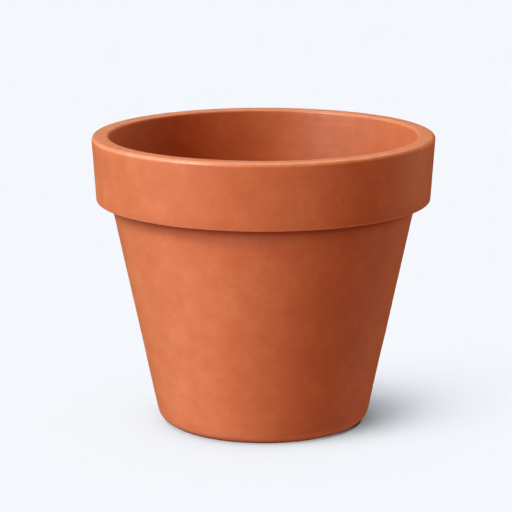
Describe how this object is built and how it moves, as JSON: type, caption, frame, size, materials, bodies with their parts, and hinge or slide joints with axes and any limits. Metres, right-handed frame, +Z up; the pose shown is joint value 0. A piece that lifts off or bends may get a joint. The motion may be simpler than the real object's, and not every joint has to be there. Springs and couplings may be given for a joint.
{
  "type": "terracotta flower pot",
  "caption": "Tapered terracotta flower pot with a thick stepped collar, rounded lip and a drain hole in the floor.",
  "frame": {"origin": "centre of the base, on the surface that the pot stands on", "axes": "+Z up along the axis of the pot; the pot is round, so +X and +Y are any two level directions at right angles"},
  "size_m": [0.1598, 0.1598, 0.137],
  "materials": {
    "terracotta": "unglazed, matt, fine grained"
  },
  "bodies": {
    "root": {"pot": "terracotta"}
  },
  "joints": []
}
